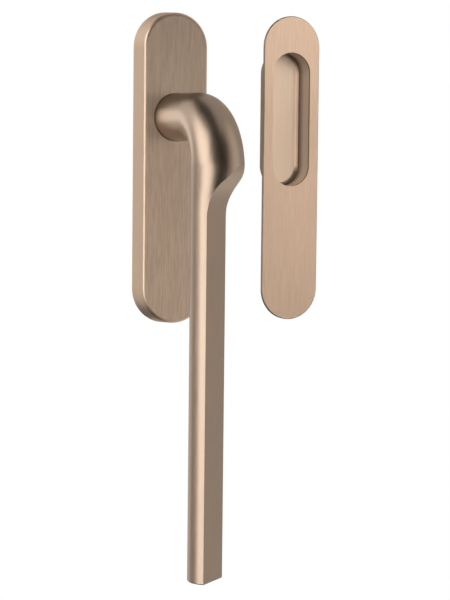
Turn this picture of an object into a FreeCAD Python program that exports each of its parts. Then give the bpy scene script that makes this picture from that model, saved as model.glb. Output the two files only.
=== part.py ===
import FreeCAD, Part
import math
import os

import Sketcher

# Lift and slide door handle: a lever on a deep cover plate for the inside of the door,
# and the flush pull that goes on the outside, standing beside it.
# Millimetres. X runs to the right, Y into the door and Z up. The origin is on the
# spindle's axis, in the plane of the door's face. A height is a distance in front of
# that plane, towards the user.

SIZES = {
    # How far a cutting outline runs past what it cuts
    "cut_margin": 1.0,
    # Inside cover plate
    "cover_width": 40.0,
    "cover_length": 175.0,
    "cover_depth": 14.3,
    "cover_wall": 2.0,
    "cover_draft": 3.3,
    "cover_edge_radius": 1.8,
    "axis_above_middle": 28.7,
    "neck_gap": 0.35,
    # Base plate behind the cover
    "base_thickness": 4.0,
    "base_inset": 0.6,
    "collar_radius": 17.0,
    "collar_height": 10.8,
    "ring_pocket_depth": 3.4,
    "ring_pocket_radius": 14.2,
    "screw_pitch": 80.0,
    "screw_hole_gap": 0.2,
    # Bearing on the spindle's axis
    "journal_radius": 10.0,
    "running_gap": 0.06,
    "bush_wall": 2.0,
    "press_gap": 0.02,
    "thrust_washer_thickness": 1.0,
    "thrust_washer_radius": 15.5,
    "support_washer_thickness": 0.9,
    "support_washer_radius": 13.8,
    "ring_thickness": 1.2,
    "ring_groove_depth": 0.7,
    "ring_outer_radius": 12.4,
    "ring_gap_width": 6.0,
    "journal_end_height": 0.5,
    # Lever
    "neck_radius": 13.1,
    "elbow_height": 41.5,
    "elbow_inside_radius": 12.0,
    "head_radius": 14.6,
    "taper_top": 25.9,
    "taper_low": 49.9,
    "grip_radius": 11.4,
    "grip_axis_height": 68.0,
    "grip_axis_shift": 3.1,
    "grip_bottom": 251.3,
    "grip_end_bevel": 0.5,
    "flat_from_axis": 2.9,
    "flat_turn": 36.9,
    "flat_top": 53.5,
    "step_drop": 38.1,
    "step_back": 15.6,
    # Spindle and its screw
    "spindle_side": 10.0,
    "spindle_gap": 0.1,
    "spindle_front_height": 38.0,
    "spindle_reach": 20.0,
    "set_screw_radius": 3.0,
    "set_screw_gap": 0.05,
    "set_screw_height": 28.0,
    "set_screw_length": 6.5,
    # Fixing screws
    "screw_radius": 3.0,
    "screw_waist_radius": 2.7,
    "thread_start": 0.5,
    "screw_reach": 24.0,
    "screw_head_radius": 5.0,
    "screw_head_height": 4.4,
    "screw_key_width": 4.0,
    "washer_radius": 6.2,
    "washer_thickness": 1.0,
    # Outside flush pull
    "pull_offset": 79.5,
    "pull_drop": 0.1,
    "face_width": 36.0,
    "face_length": 176.4,
    "face_thickness": 1.6,
    "face_edge_bevel": 0.4,
    "recess_above_middle": 28.5,
    "recess_width": 24.0,
    "recess_length": 77.6,
    "cup_wall": 1.2,
    "cup_depth": 14.4,
    "cup_corner_bevel": 2.0,
    "cup_flange_width": 3.0,
    "cup_flange_thickness": 1.0,
    "socket_radius": 4.5,
    "socket_length": 12.0,
    "socket_bore_radius": 2.5,
    "socket_bore_depth": 10.0,
    "socket_pitch": 100.0,
}

ELBOW_TURNS = (0.0, 22.5, 45.0, 67.5, 90.0)
TAPER_STEPS = (0.0, 0.25, 0.5, 0.75, 1.0)

document = FreeCAD.newDocument("LiftAndSlideHandle")
sheet = document.addObject("Spreadsheet::Sheet", "Sizes")
for row, (alias, value) in enumerate(SIZES.items(), start=1):
    sheet.set(f"A{row}", alias)
    sheet.set(f"B{row}", str(value))
    sheet.setAlias(f"B{row}", alias)
document.recompute()


def cell(text):
    """Turn the aliases in an expression into references to the sheet."""
    words = []
    for word in text.split():
        words.append(f"Sizes.{word}" if word in SIZES else word)
    return " ".join(words)


def new_body(name):
    body = document.addObject("PartDesign::Body", name)
    body.Label = name
    return body


def origin_plane(body, role):
    for feature in body.Origin.OriginFeatures:
        if feature.Role == role:
            return feature
    raise ValueError(role)


def new_sketch(body, name, role="XZ_Plane", x="0", y="0", out="0"):
    """An empty sketch, moved on its plane by x and y and off it by out."""
    sketch = body.newObject("Sketcher::SketchObject", name)
    sketch.AttachmentSupport = (origin_plane(body, role), [""])
    sketch.MapMode = "FlatFace"
    for axis, text in (("x", x), ("y", y), ("z", out)):
        if text != "0":
            sketch.setExpression(f"AttachmentOffset.Base.{axis}", cell(text))
    return sketch


def bind(sketch, constraint, name, text):
    index = sketch.addConstraint(constraint)
    sketch.renameConstraint(index, name)
    sketch.setExpression(f"Constraints.{name}", cell(text))


def number(text):
    """The number that an expression on the sheet's aliases gives."""
    return float(sheet.evalExpression(cell(text)))


def pin_point(sketch, name, geometry, point, x, y):
    """Fix a point of the sketch at x and y from the sketch's origin."""
    across = Sketcher.Constraint("DistanceX", -1, 1, geometry, point, number(x))
    bind(sketch, across, f"{name}_x", x)
    upward = Sketcher.Constraint("DistanceY", -1, 1, geometry, point, number(y))
    bind(sketch, upward, f"{name}_y", y)


def add_circle(sketch, name, radius, y=None):
    """A circle about the sketch's origin, or at the height y above it."""
    centre = FreeCAD.Vector(0, number(y) if y else 0, 0)
    circle = Part.Circle(centre, FreeCAD.Vector(0, 0, 1), number(radius))
    index = sketch.addGeometry(circle, False)
    if y:
        sketch.addConstraint(Sketcher.Constraint("PointOnObject", index, 3, -2))
        bind(sketch, Sketcher.Constraint("DistanceY", -1, 1, index, 3, number(y)), f"{name}_y", y)
    else:
        sketch.addConstraint(Sketcher.Constraint("Coincident", index, 3, -1, 1))
    bind(sketch, Sketcher.Constraint("Radius", index, number(radius)), name, radius)


def add_slot(sketch, name, width, length):
    """An upright stadium about the sketch's origin, with half-round ends."""
    axis = FreeCAD.Vector(0, 0, 1)
    half = number(width) / 2
    rise = number(length) / 2 - half
    top = Part.Circle(FreeCAD.Vector(0, rise, 0), axis, half)
    low = Part.Circle(FreeCAD.Vector(0, -rise, 0), axis, half)
    first = sketch.addGeometry(Part.ArcOfCircle(top, 0, math.pi), False)
    second = sketch.addGeometry(Part.ArcOfCircle(low, math.pi, 2 * math.pi), False)
    corners = ((-half, rise), (-half, -rise), (half, -rise), (half, rise))
    corner = [FreeCAD.Vector(x, y, 0) for x, y in corners]
    left = sketch.addGeometry(Part.LineSegment(corner[0], corner[1]), False)
    right = sketch.addGeometry(Part.LineSegment(corner[2], corner[3]), False)
    for pair in ((first, 2, left, 1), (left, 2, second, 1), (second, 2, right, 1), (right, 2, first, 1)):
        sketch.addConstraint(Sketcher.Constraint("Tangent", *pair))
    sketch.addConstraint(Sketcher.Constraint("Vertical", left))
    sketch.addConstraint(Sketcher.Constraint("PointOnObject", first, 3, -2))
    sketch.addConstraint(Sketcher.Constraint("Symmetric", first, 3, second, 3, -1, 1))
    bind(sketch, Sketcher.Constraint("Radius", first, half), f"{name}_end", f"( {width} ) / 2")
    spacing = f"( {length} ) - ( {width} )"
    straight = Sketcher.Constraint("DistanceY", second, 3, first, 3, 2 * rise)
    bind(sketch, straight, f"{name}_straight", spacing)


def add_outline(sketch, name, points):
    """A closed outline of straight lines; each point is a pair of expressions."""
    places = [FreeCAD.Vector(number(x), number(y), 0) for x, y in points]
    lines = []
    for start, end in zip(places, places[1:] + places[:1]):
        lines.append(sketch.addGeometry(Part.LineSegment(start, end), False))
    for line, following in zip(lines, lines[1:] + lines[:1]):
        sketch.addConstraint(Sketcher.Constraint("Coincident", line, 2, following, 1))
    for index, (x, y) in enumerate(points):
        pin_point(sketch, f"{name}_{index}", lines[index], 1, x, y)


def add_square(sketch, side):
    half = f"( {side} ) / 2"
    other = f"-1 * ( {side} ) / 2"
    add_outline(sketch, "corner", ((half, half), (other, half), (other, other), (half, other)))


def add_hexagon(sketch, name, width, y="0"):
    """A hexagon across whose flats the width lies, with its middle at the height y."""
    corners = []
    for turn in range(0, 360, 60):
        across = f"( {width} ) / sqrt( 3 ) * cos( {turn} )"
        upward = f"( {width} ) / sqrt( 3 ) * sin( {turn} ) + ( {y} )"
        corners.append((across, upward))
    add_outline(sketch, name, corners)


def pad(body, name, sketch, length, draft=None, inward=False):
    """Raise the sketch along its plane's own direction, or the other way if inward."""
    feature = body.newObject("PartDesign::Pad", name)
    feature.Profile = sketch
    feature.Reversed = inward
    feature.setExpression("Length", cell(length))
    if draft:
        feature.setExpression("TaperAngle", cell(draft))
    document.recompute()
    return feature


def pocket(body, name, sketch, length=None, draft=None, forward=False):
    """Cut the sketch away behind its plane, or in front of it where forward is set."""
    before = body.Shape.Volume
    feature = body.newObject("PartDesign::Pocket", name)
    feature.Profile = sketch
    feature.Reversed = forward
    if length:
        feature.setExpression("Length", cell(length))
    else:
        feature.Type = "ThroughAll"
    if draft:
        feature.setExpression("TaperAngle", cell(draft))
    document.recompute()
    if not body.Shape.Volume < before:
        raise RuntimeError(f"{name} cuts nothing from {body.Label}")
    return feature


def loft(body, name, sections):
    """A smooth skin through the sections, joined to the body."""
    feature = body.newObject("PartDesign::AdditiveLoft", name)
    feature.Profile = sections[0]
    feature.Sections = sections[1:]
    document.recompute()
    return feature


def edges_at(feature, axis, place):
    """Names of the edges that lie wholly in the plane across the axis at the place."""
    nearly = 0.01
    names = []
    for index, edge in enumerate(feature.Shape.Edges, start=1):
        box = edge.BoundBox
        low = getattr(box, f"{axis}Min")
        high = getattr(box, f"{axis}Max")
        if abs(low - place) < nearly and abs(high - place) < nearly:
            names.append(f"Edge{index}")
    return names


def fillet(body, name, feature, edges, radius):
    rounding = body.newObject("PartDesign::Fillet", name)
    rounding.Base = (feature, edges)
    rounding.setExpression("Radius", cell(radius))
    document.recompute()
    return rounding


def chamfer(body, name, feature, edges, size):
    bevel = body.newObject("PartDesign::Chamfer", name)
    bevel.Base = (feature, edges)
    bevel.setExpression("Size", cell(size))
    document.recompute()
    return bevel


def ring(name, inner, outer, back, thickness):
    """A flat ring about the spindle's axis, from the height back forwards."""
    body = new_body(name)
    sketch = new_sketch(body, f"{name}_outline", out=back)
    add_circle(sketch, "outer", outer)
    add_circle(sketch, "inner", inner)
    pad(body, f"{name}_pad", sketch, thickness)
    return body


# Places that more than one piece shares
MIDDLE = "-1 * axis_above_middle"
BUSH_BORE = "journal_radius + running_gap"
BUSH_OUTSIDE = "journal_radius + running_gap + bush_wall"
SHOULDER = "collar_height + thrust_washer_thickness + running_gap"
RING_FRONT = "ring_pocket_depth - support_washer_thickness - running_gap"
SCREWS = (("upper", "screw_pitch / 2"), ("lower", "-1 * screw_pitch / 2"))
SOCKETS = (("upper", "socket_pitch / 2"), ("lower", "-1 * socket_pitch / 2"))
SOCKET_FRONT = "spindle_front_height + spindle_gap"
HEAD_HEIGHT = "elbow_height + elbow_inside_radius + head_radius"
HEAD_LEVEL = "-1 * ( neck_radius + elbow_inside_radius )"
FRONT_CUT_REACH = "head_radius + grip_radius + step_back"
RECESS_MIDDLE = "-1 * pull_drop"
FACE_MIDDLE = "-1 * ( pull_drop + recess_above_middle )"


def make_cover_plate():
    """A deep shell with drafted sides, open at the back, with a round hole for the neck."""
    body = new_body("cover_plate")
    outline = new_sketch(body, "cover_outline", y=MIDDLE)
    add_slot(outline, "cover", "cover_width", "cover_length")
    outside = pad(body, "cover_outside", outline, "cover_depth", draft="-1 * cover_draft")
    front = edges_at(outside, "Y", -number("cover_depth"))
    fillet(body, "cover_front_edge", outside, front, "cover_edge_radius")
    hollow = new_sketch(body, "cover_hollow_outline", y=MIDDLE)
    add_slot(hollow, "hollow", "cover_width - 2 * cover_wall", "cover_length - 2 * cover_wall")
    depth = "cover_depth - cover_wall"
    pocket(body, "cover_hollow", hollow, depth, draft="-1 * cover_draft", forward=True)
    opening = new_sketch(body, "cover_neck_hole_outline")
    add_circle(opening, "neck_hole", "neck_radius + neck_gap")
    pocket(body, "cover_neck_hole", opening, forward=True)


def make_base_plate():
    """The plate that is screwed to the door, with the collar that carries the bush."""
    body = new_body("base_plate")
    outline = new_sketch(body, "base_outline", y=MIDDLE)
    inset = "2 * ( cover_wall + base_inset )"
    add_slot(outline, "base", f"cover_width - {inset}", f"cover_length - {inset}")
    pad(body, "base_slab", outline, "base_thickness")
    collar = new_sketch(body, "base_collar_outline")
    add_circle(collar, "collar", "collar_radius")
    pad(body, "base_collar", collar, "collar_height")
    bore = new_sketch(body, "base_bore_outline")
    add_circle(bore, "bore", f"{BUSH_OUTSIDE} + press_gap")
    pocket(body, "base_bore", bore, forward=True)
    seat = new_sketch(body, "base_ring_pocket_outline")
    add_circle(seat, "ring_pocket", "ring_pocket_radius")
    pocket(body, "base_ring_pocket", seat, "ring_pocket_depth", forward=True)
    holes = new_sketch(body, "base_screw_holes_outline")
    for label, level in SCREWS:
        add_circle(holes, label, "screw_radius + screw_hole_gap", y=level)
    pocket(body, "base_screw_holes", holes, forward=True)


def make_bearing():
    """The bush in the collar and the washers that the lever turns against."""
    length = "collar_height - ring_pocket_depth"
    ring("bearing_bush", BUSH_BORE, BUSH_OUTSIDE, "ring_pocket_depth", length)
    thickness = "thrust_washer_thickness"
    ring("thrust_washer", BUSH_BORE, "thrust_washer_radius", "collar_height", thickness)
    back = "ring_pocket_depth - support_washer_thickness"
    ring("support_washer", BUSH_BORE, "support_washer_radius", back, "support_washer_thickness")


def make_retaining_ring():
    """The open ring in the journal's groove that holds the lever in the base plate."""
    back = f"{RING_FRONT} - ring_thickness"
    inside = "journal_radius - ring_groove_depth + running_gap"
    body = ring("retaining_ring", inside, "ring_outer_radius", back, "ring_thickness")
    slot = new_sketch(body, "retaining_ring_slot_outline", out=back)
    half = "ring_gap_width / 2"
    other = "-1 * ring_gap_width / 2"
    low = "-1 * ( ring_outer_radius + cut_margin )"
    add_outline(slot, "slot", ((other, "0"), (other, low), (half, low), (half, "0")))
    pocket(body, "retaining_ring_slot", slot, forward=True)


def section_sketch(body, name, radius, height, level, turn="90", shift="0"):
    """A round section of the lever, turned about X from facing the user to facing down.

    The shift takes it to the left of the spindle's axis.
    """
    sketch = new_sketch(body, name)
    half_turned = FreeCAD.Rotation(FreeCAD.Vector(1, 0, 0), 45)
    sketch.AttachmentOffset = FreeCAD.Placement(FreeCAD.Vector(0, 0, 0), half_turned)
    sketch.setExpression("AttachmentOffset.Rotation.Angle", cell(turn))
    sketch.setExpression("AttachmentOffset.Base.x", cell(f"-1 * ( {shift} )"))
    sketch.setExpression("AttachmentOffset.Base.y", cell(level))
    sketch.setExpression("AttachmentOffset.Base.z", cell(height))
    add_circle(sketch, "section", radius)
    return sketch


def make_lever_handle():
    """Journal, round neck, bulging elbow and a half-round grip with an S-shaped step."""
    body = new_body("lever_handle")
    journal = new_sketch(body, "journal_outline", out="journal_end_height")
    add_circle(journal, "journal", "journal_radius")
    pad(body, "journal", journal, f"{SHOULDER} - journal_end_height")
    neck = new_sketch(body, "neck_outline", out=SHOULDER)
    add_circle(neck, "neck", "neck_radius")
    pad(body, "neck", neck, f"elbow_height - ( {SHOULDER} )")

    # The elbow turns about a point inside its bend while it swells from the neck to the head.
    sections = []
    for index, turn in enumerate(ELBOW_TURNS):
        share = turn / ELBOW_TURNS[-1]
        radius = f"( neck_radius + ( head_radius - neck_radius ) * {share} )"
        reach = f"( {radius} + elbow_inside_radius )"
        height = f"elbow_height + {reach} * sin( {turn} )"
        level = f"{HEAD_LEVEL} + {reach} * cos( {turn} )"
        sections.append(section_sketch(body, f"elbow_{index}", radius, height, level, f"{turn}"))
    loft(body, "elbow", sections)
    head = section_sketch(body, "head_outline", "head_radius", HEAD_HEIGHT, HEAD_LEVEL)
    pad(body, "head", head, f"taper_top + {HEAD_LEVEL}")

    # Below the head the round bar narrows to the grip, flush on its left side, with a soft
    # start and end.
    sections = []
    for index, step in enumerate(TAPER_STEPS):
        share = step * step * (3 - 2 * step)
        radius = f"head_radius + ( grip_radius - head_radius ) * {share}"
        height = f"{HEAD_HEIGHT} + ( grip_axis_height - ( {HEAD_HEIGHT} ) ) * {share}"
        level = f"-1 * ( taper_top + ( taper_low - taper_top ) * {step} )"
        shift = f"grip_axis_shift * {share}"
        name = f"taper_{index}"
        sections.append(section_sketch(body, name, radius, height, level, shift=shift))
    loft(body, "taper", sections)
    place = ("grip_radius", "grip_axis_height", "-1 * taper_low")
    grip = section_sketch(body, "grip_outline", *place, shift="grip_axis_shift")
    rod = pad(body, "grip", grip, "grip_bottom - taper_low")
    end = edges_at(rod, "Z", -number("grip_bottom"))
    chamfer(body, "grip_end_edge", rod, end, "grip_end_bevel")

    cut = new_sketch(body, "front_cut_outline", role="YZ_Plane")
    turned = FreeCAD.Rotation(FreeCAD.Vector(0, 1, 0), 10)
    cut.AttachmentOffset = FreeCAD.Placement(FreeCAD.Vector(0, 0, 0), turned)
    cut.setExpression("AttachmentOffset.Rotation.Angle", cell("flat_turn"))
    cut.setExpression("AttachmentOffset.Base.x", cell("-1 * grip_axis_height"))
    cut.setExpression("AttachmentOffset.Base.z", cell("-1 * grip_axis_shift"))
    draw_front_cut(cut)
    removal = body.newObject("PartDesign::Pocket", "front_cut")
    removal.Profile = cut
    removal.Type = "ThroughAll"
    removal.Midplane = True
    document.recompute()

    socket = new_sketch(body, "spindle_socket_outline", out="journal_end_height")
    add_square(socket, "spindle_side + 2 * spindle_gap")
    pocket(body, "spindle_socket", socket, f"{SOCKET_FRONT} - journal_end_height", forward=True)
    tap = new_sketch(body, "set_screw_hole_outline", role="XY_Plane", y="-1 * set_screw_height")
    add_circle(tap, "set_screw_hole", "set_screw_radius + set_screw_gap")
    pocket(body, "set_screw_hole", tap, "neck_radius + cut_margin")
    back = f"{RING_FRONT} - ring_thickness - running_gap"
    groove = new_sketch(body, "ring_groove_outline", out=back)
    add_circle(groove, "groove_outside", "journal_radius + cut_margin")
    add_circle(groove, "groove_inside", "journal_radius - ring_groove_depth")
    pocket(body, "ring_groove", groove, "ring_thickness + 2 * running_gap", forward=True)


def draw_front_cut(sketch):
    """The side view of what is cut from the front: a flat, an S of two equal arcs, a ledge."""
    flat = -number("flat_from_axis")
    back = number("step_back")
    drop = number("step_drop")
    top = -number("flat_top")
    low = -number("grip_bottom + cut_margin")
    far = -number(FRONT_CUT_REACH)
    turn = 2 * math.atan2(back, drop)
    radius = drop / (2 * math.sin(turn))
    point = FreeCAD.Vector
    axis = point(0, 0, 1)
    hollow_circle = Part.Circle(point(flat - radius, top, 0), axis, radius)
    crest_circle = Part.Circle(point(flat - back + radius, top + drop, 0), axis, radius)
    hollow = Part.ArcOfCircle(hollow_circle, 0, turn)
    crest = Part.ArcOfCircle(crest_circle, math.pi, math.pi + turn)
    lines = (
        Part.LineSegment(point(flat, low, 0), point(flat, top, 0)),
        Part.LineSegment(point(flat - back, top + drop, 0), point(far, top + drop, 0)),
        Part.LineSegment(point(far, top + drop, 0), point(far, low, 0)),
        Part.LineSegment(point(far, low, 0), point(flat, low, 0)),
    )
    face, ledge, outer, under = (sketch.addGeometry(line, False) for line in lines)
    hollow_arc = sketch.addGeometry(hollow, False)
    crest_arc = sketch.addGeometry(crest, False)
    joins = (
        ("Tangent", face, 2, hollow_arc, 1),
        ("Tangent", hollow_arc, 2, crest_arc, 2),
        ("Coincident", crest_arc, 1, ledge, 1),
        ("Coincident", ledge, 2, outer, 1),
        ("Coincident", outer, 2, under, 1),
        ("Coincident", under, 2, face, 1),
        ("Vertical", face),
        ("Vertical", outer),
        ("Horizontal", ledge),
        ("Horizontal", under),
        ("Equal", hollow_arc, crest_arc),
    )
    for join in joins:
        sketch.addConstraint(Sketcher.Constraint(*join))
    pin_point(sketch, "flat_top", face, 2, "-1 * flat_from_axis", "-1 * flat_top")
    tip_x = "-1 * ( flat_from_axis + step_back )"
    pin_point(sketch, "tip", ledge, 1, tip_x, "step_drop - flat_top")
    below = "-1 * ( grip_bottom + cut_margin )"
    pin_point(sketch, "outer_low", outer, 2, f"-1 * ( {FRONT_CUT_REACH} )", below)


def make_spindle():
    """The square bar that the lever turns, with its screw in the neck's underside."""
    body = new_body("spindle")
    outline = new_sketch(body, "spindle_outline", out="-1 * spindle_reach")
    add_square(outline, "spindle_side")
    pad(body, "spindle_bar", outline, "spindle_reach + spindle_front_height")

    screw = new_body("spindle_set_screw")
    place = "-1 * set_screw_height"
    level = "-1 * ( spindle_side / 2 + set_screw_gap )"
    shank = new_sketch(screw, "set_screw_outline", role="XY_Plane", y=place, out=level)
    add_circle(shank, "set_screw", "set_screw_radius")
    pad(screw, "set_screw_shank", shank, "set_screw_length", inward=True)
    end = f"{level} - set_screw_length"
    key = new_sketch(screw, "set_screw_key_outline", role="XY_Plane", y=place, out=end)
    add_hexagon(key, "key", "set_screw_radius")
    pocket(screw, "set_screw_key", key, "set_screw_length / 2", forward=True)


def make_fixing_screws():
    """Two cap screws with washers that hold the base plate to the door."""
    washers = new_body("screw_washers")
    rings = new_sketch(washers, "washer_outline", out="base_thickness")
    for label, level in SCREWS:
        add_circle(rings, f"{label}_outside", "washer_radius", y=level)
        add_circle(rings, f"{label}_inside", "screw_radius + screw_hole_gap", y=level)
    pad(washers, "washers", rings, "washer_thickness")

    screws = new_body("fixing_screws")
    seat = "base_thickness + washer_thickness"
    heads = new_sketch(screws, "screw_head_outline", out=seat)
    shanks = new_sketch(screws, "screw_shank_outline", out=seat)
    keys = new_sketch(screws, "screw_key_outline", out=f"{seat} + screw_head_height")
    threads = new_sketch(screws, "screw_thread_outline", out="-1 * thread_start")
    for label, level in SCREWS:
        add_circle(heads, label, "screw_head_radius", y=level)
        add_circle(shanks, label, "screw_waist_radius", y=level)
        add_circle(threads, label, "screw_radius", y=level)
        add_hexagon(keys, label, "screw_key_width", y=level)
    pad(screws, "screw_heads", heads, "screw_head_height")
    pad(screws, "screw_shanks", shanks, f"{seat} + thread_start", inward=True)
    pad(screws, "screw_threads", threads, "screw_reach - thread_start", inward=True)
    pocket(screws, "screw_keys", keys, "screw_head_height / 2")


def make_flush_pull():
    """The outside pull: a thin face, a deep recess behind it and two threaded sockets."""
    face = new_body("flush_face_plate")
    outline = new_sketch(face, "face_outline", x="pull_offset", y=FACE_MIDDLE)
    add_slot(outline, "face", "face_width", "face_length")
    slab = pad(face, "face_slab", outline, "face_thickness")
    front = edges_at(slab, "Y", -number("face_thickness"))
    chamfer(face, "face_edge", slab, front, "face_edge_bevel")
    window = new_sketch(face, "face_window_outline", x="pull_offset", y=RECESS_MIDDLE)
    add_slot(window, "window", "recess_width", "recess_length")
    pocket(face, "face_window", window, forward=True)

    cup = new_body("recess_cup")
    wall = new_sketch(cup, "cup_outline", x="pull_offset", y=RECESS_MIDDLE)
    add_slot(wall, "cup", "recess_width + 2 * cup_wall", "recess_length + 2 * cup_wall")
    block = pad(cup, "cup_outside", wall, "cup_depth", inward=True)
    bottom = edges_at(block, "Y", number("cup_depth"))
    chamfer(cup, "cup_corner", block, bottom, "cup_corner_bevel")
    flange = new_sketch(cup, "cup_flange_outline", x="pull_offset", y=RECESS_MIDDLE)
    rim = "2 * ( cup_wall + cup_flange_width )"
    add_slot(flange, "flange", f"recess_width + {rim}", f"recess_length + {rim}")
    pad(cup, "cup_flange", flange, "cup_flange_thickness", inward=True)
    hollow = new_sketch(cup, "cup_hollow_outline", x="pull_offset", y=RECESS_MIDDLE)
    add_slot(hollow, "hollow", "recess_width", "recess_length")
    inside = pocket(cup, "cup_hollow", hollow, "cup_depth - cup_wall")
    floor = edges_at(inside, "Y", number("cup_depth - cup_wall"))
    chamfer(cup, "cup_floor_edge", inside, floor, "cup_corner_bevel - cup_wall")

    sockets = new_body("threaded_sockets")
    posts = new_sketch(sockets, "socket_outline", x="pull_offset", y=RECESS_MIDDLE)
    back = "-1 * socket_length"
    bores = new_sketch(sockets, "bore_outline", x="pull_offset", y=RECESS_MIDDLE, out=back)
    for label, level in SOCKETS:
        add_circle(posts, label, "socket_radius", y=level)
        add_circle(bores, label, "socket_bore_radius", y=level)
    pad(sockets, "socket_posts", posts, "socket_length", inward=True)
    pocket(sockets, "socket_bores", bores, "socket_bore_depth", forward=True)


def check_document():
    """Stop if any object failed or any piece has no sound solid."""
    document.recompute()
    for item in document.Objects:
        if "Invalid" in item.State or "Error" in item.State:
            raise RuntimeError(f"{item.Label} is {item.State}")
    for piece in document.findObjects("PartDesign::Body"):
        if piece.Shape.isNull() or not piece.Shape.isValid() or not piece.Shape.Solids:
            raise RuntimeError(f"{piece.Label} has no sound solid")


def write_pieces():
    os.makedirs("parts", exist_ok=True)
    for piece in document.findObjects("PartDesign::Body"):
        piece.Shape.exportStep(f"parts/{piece.Label}.step")
        print(f"{piece.Label}: {len(piece.Shape.Solids)} solid, {piece.Shape.Volume:.0f} mm3")


make_cover_plate()
make_base_plate()
make_bearing()
make_retaining_ring()
make_lever_handle()
make_spindle()
make_fixing_screws()
make_flush_pull()
check_document()
write_pieces()
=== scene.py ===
import math

import bmesh
import bpy
from bpy.props import FloatProperty, FloatVectorProperty, IntProperty, PointerProperty
from mathutils import Euler, Matrix, Vector


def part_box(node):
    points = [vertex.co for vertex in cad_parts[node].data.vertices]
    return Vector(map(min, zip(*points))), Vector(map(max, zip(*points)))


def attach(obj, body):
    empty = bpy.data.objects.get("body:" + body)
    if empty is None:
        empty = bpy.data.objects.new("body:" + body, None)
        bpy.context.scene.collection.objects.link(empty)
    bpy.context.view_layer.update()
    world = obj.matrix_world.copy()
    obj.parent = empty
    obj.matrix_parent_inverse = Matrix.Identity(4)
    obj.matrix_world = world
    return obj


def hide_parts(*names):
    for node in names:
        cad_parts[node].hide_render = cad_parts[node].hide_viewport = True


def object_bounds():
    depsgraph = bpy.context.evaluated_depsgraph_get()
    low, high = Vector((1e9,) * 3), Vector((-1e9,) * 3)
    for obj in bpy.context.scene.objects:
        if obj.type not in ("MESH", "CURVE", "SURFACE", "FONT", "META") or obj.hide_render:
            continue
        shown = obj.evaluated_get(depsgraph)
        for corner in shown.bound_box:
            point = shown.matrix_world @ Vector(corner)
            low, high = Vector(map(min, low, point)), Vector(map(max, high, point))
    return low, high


# Lift and slide door handle: finishes, threaded screws, soft studio light and the camera.
# Metres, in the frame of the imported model: X right, Y into the door, Z up, with the
# origin on the spindle's axis in the plane of the door's face.

bl_info = {
    "name": "Lift and Slide Door Handle",
    "version": (1, 0, 0),
    "blender": (4, 5, 0),
    "location": "View3D > Sidebar > Door Handle",
    "description": "Finishes and details for a lift and slide door handle and its flush pull",
    "category": "Object",
}

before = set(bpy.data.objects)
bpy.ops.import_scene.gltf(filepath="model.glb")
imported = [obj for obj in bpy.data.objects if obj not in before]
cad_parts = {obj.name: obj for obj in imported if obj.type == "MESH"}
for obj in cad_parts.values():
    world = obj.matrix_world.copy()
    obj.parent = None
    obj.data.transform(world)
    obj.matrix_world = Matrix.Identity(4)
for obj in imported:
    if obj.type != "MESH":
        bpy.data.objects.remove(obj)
CAD_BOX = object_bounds()

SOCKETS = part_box("threaded_sockets")
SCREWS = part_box("fixing_screws")
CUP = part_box("recess_cup")


# Sizes and colours that a user may change


class FinishSettings(bpy.types.PropertyGroup):
    plate_colour: FloatVectorProperty(
        name="Plate bronze", description="Colour of the brushed cover plate",
        subtype="COLOR", size=3, min=0.0, max=1.0, default=(0.50, 0.375, 0.28))
    lever_colour: FloatVectorProperty(
        name="Lever bronze", description="Colour of the satin lever",
        subtype="COLOR", size=3, min=0.0, max=1.0, default=(0.50, 0.375, 0.28))
    # The pull's and the recess's bronzes are lighter copies of the plate's: painted light that
    # stands in for the brighter light on the pull, on top of the pull's own panel.
    lit_pull_colour: FloatVectorProperty(
        name="Pull bronze", description="Colour of the brushed flush pull",
        subtype="COLOR", size=3, min=0.0, max=1.0, default=(0.66, 0.49, 0.365))
    lit_recess_colour: FloatVectorProperty(
        name="Recess bronze", description="Colour of the brushed recess",
        subtype="COLOR", size=3, min=0.0, max=1.0, default=(0.60, 0.46, 0.35))
    zinc_colour: FloatVectorProperty(
        name="Zinc", description="Colour of the zinc plated steel parts",
        subtype="COLOR", size=3, min=0.0, max=1.0, default=(0.56, 0.58, 0.60))
    oiled_colour: FloatVectorProperty(
        name="Oiled steel", description="Colour of the blackened steel parts",
        subtype="COLOR", size=3, min=0.0, max=1.0, default=(0.05, 0.05, 0.055))
    plastic_colour: FloatVectorProperty(
        name="Bearing plastic", description="Colour of the bush and the thrust washer",
        subtype="COLOR", size=3, min=0.0, max=1.0, default=(0.72, 0.70, 0.63))
    grain_width: FloatProperty(
        name="Grain width", description="Width of the brushing lines",
        subtype="DISTANCE", unit="LENGTH", min=0.0001, max=0.005, default=0.0005)
    grain_length: FloatProperty(
        name="Grain length", description="Length of the brushing lines",
        subtype="DISTANCE", unit="LENGTH", min=0.002, max=0.2, default=0.012)


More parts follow.
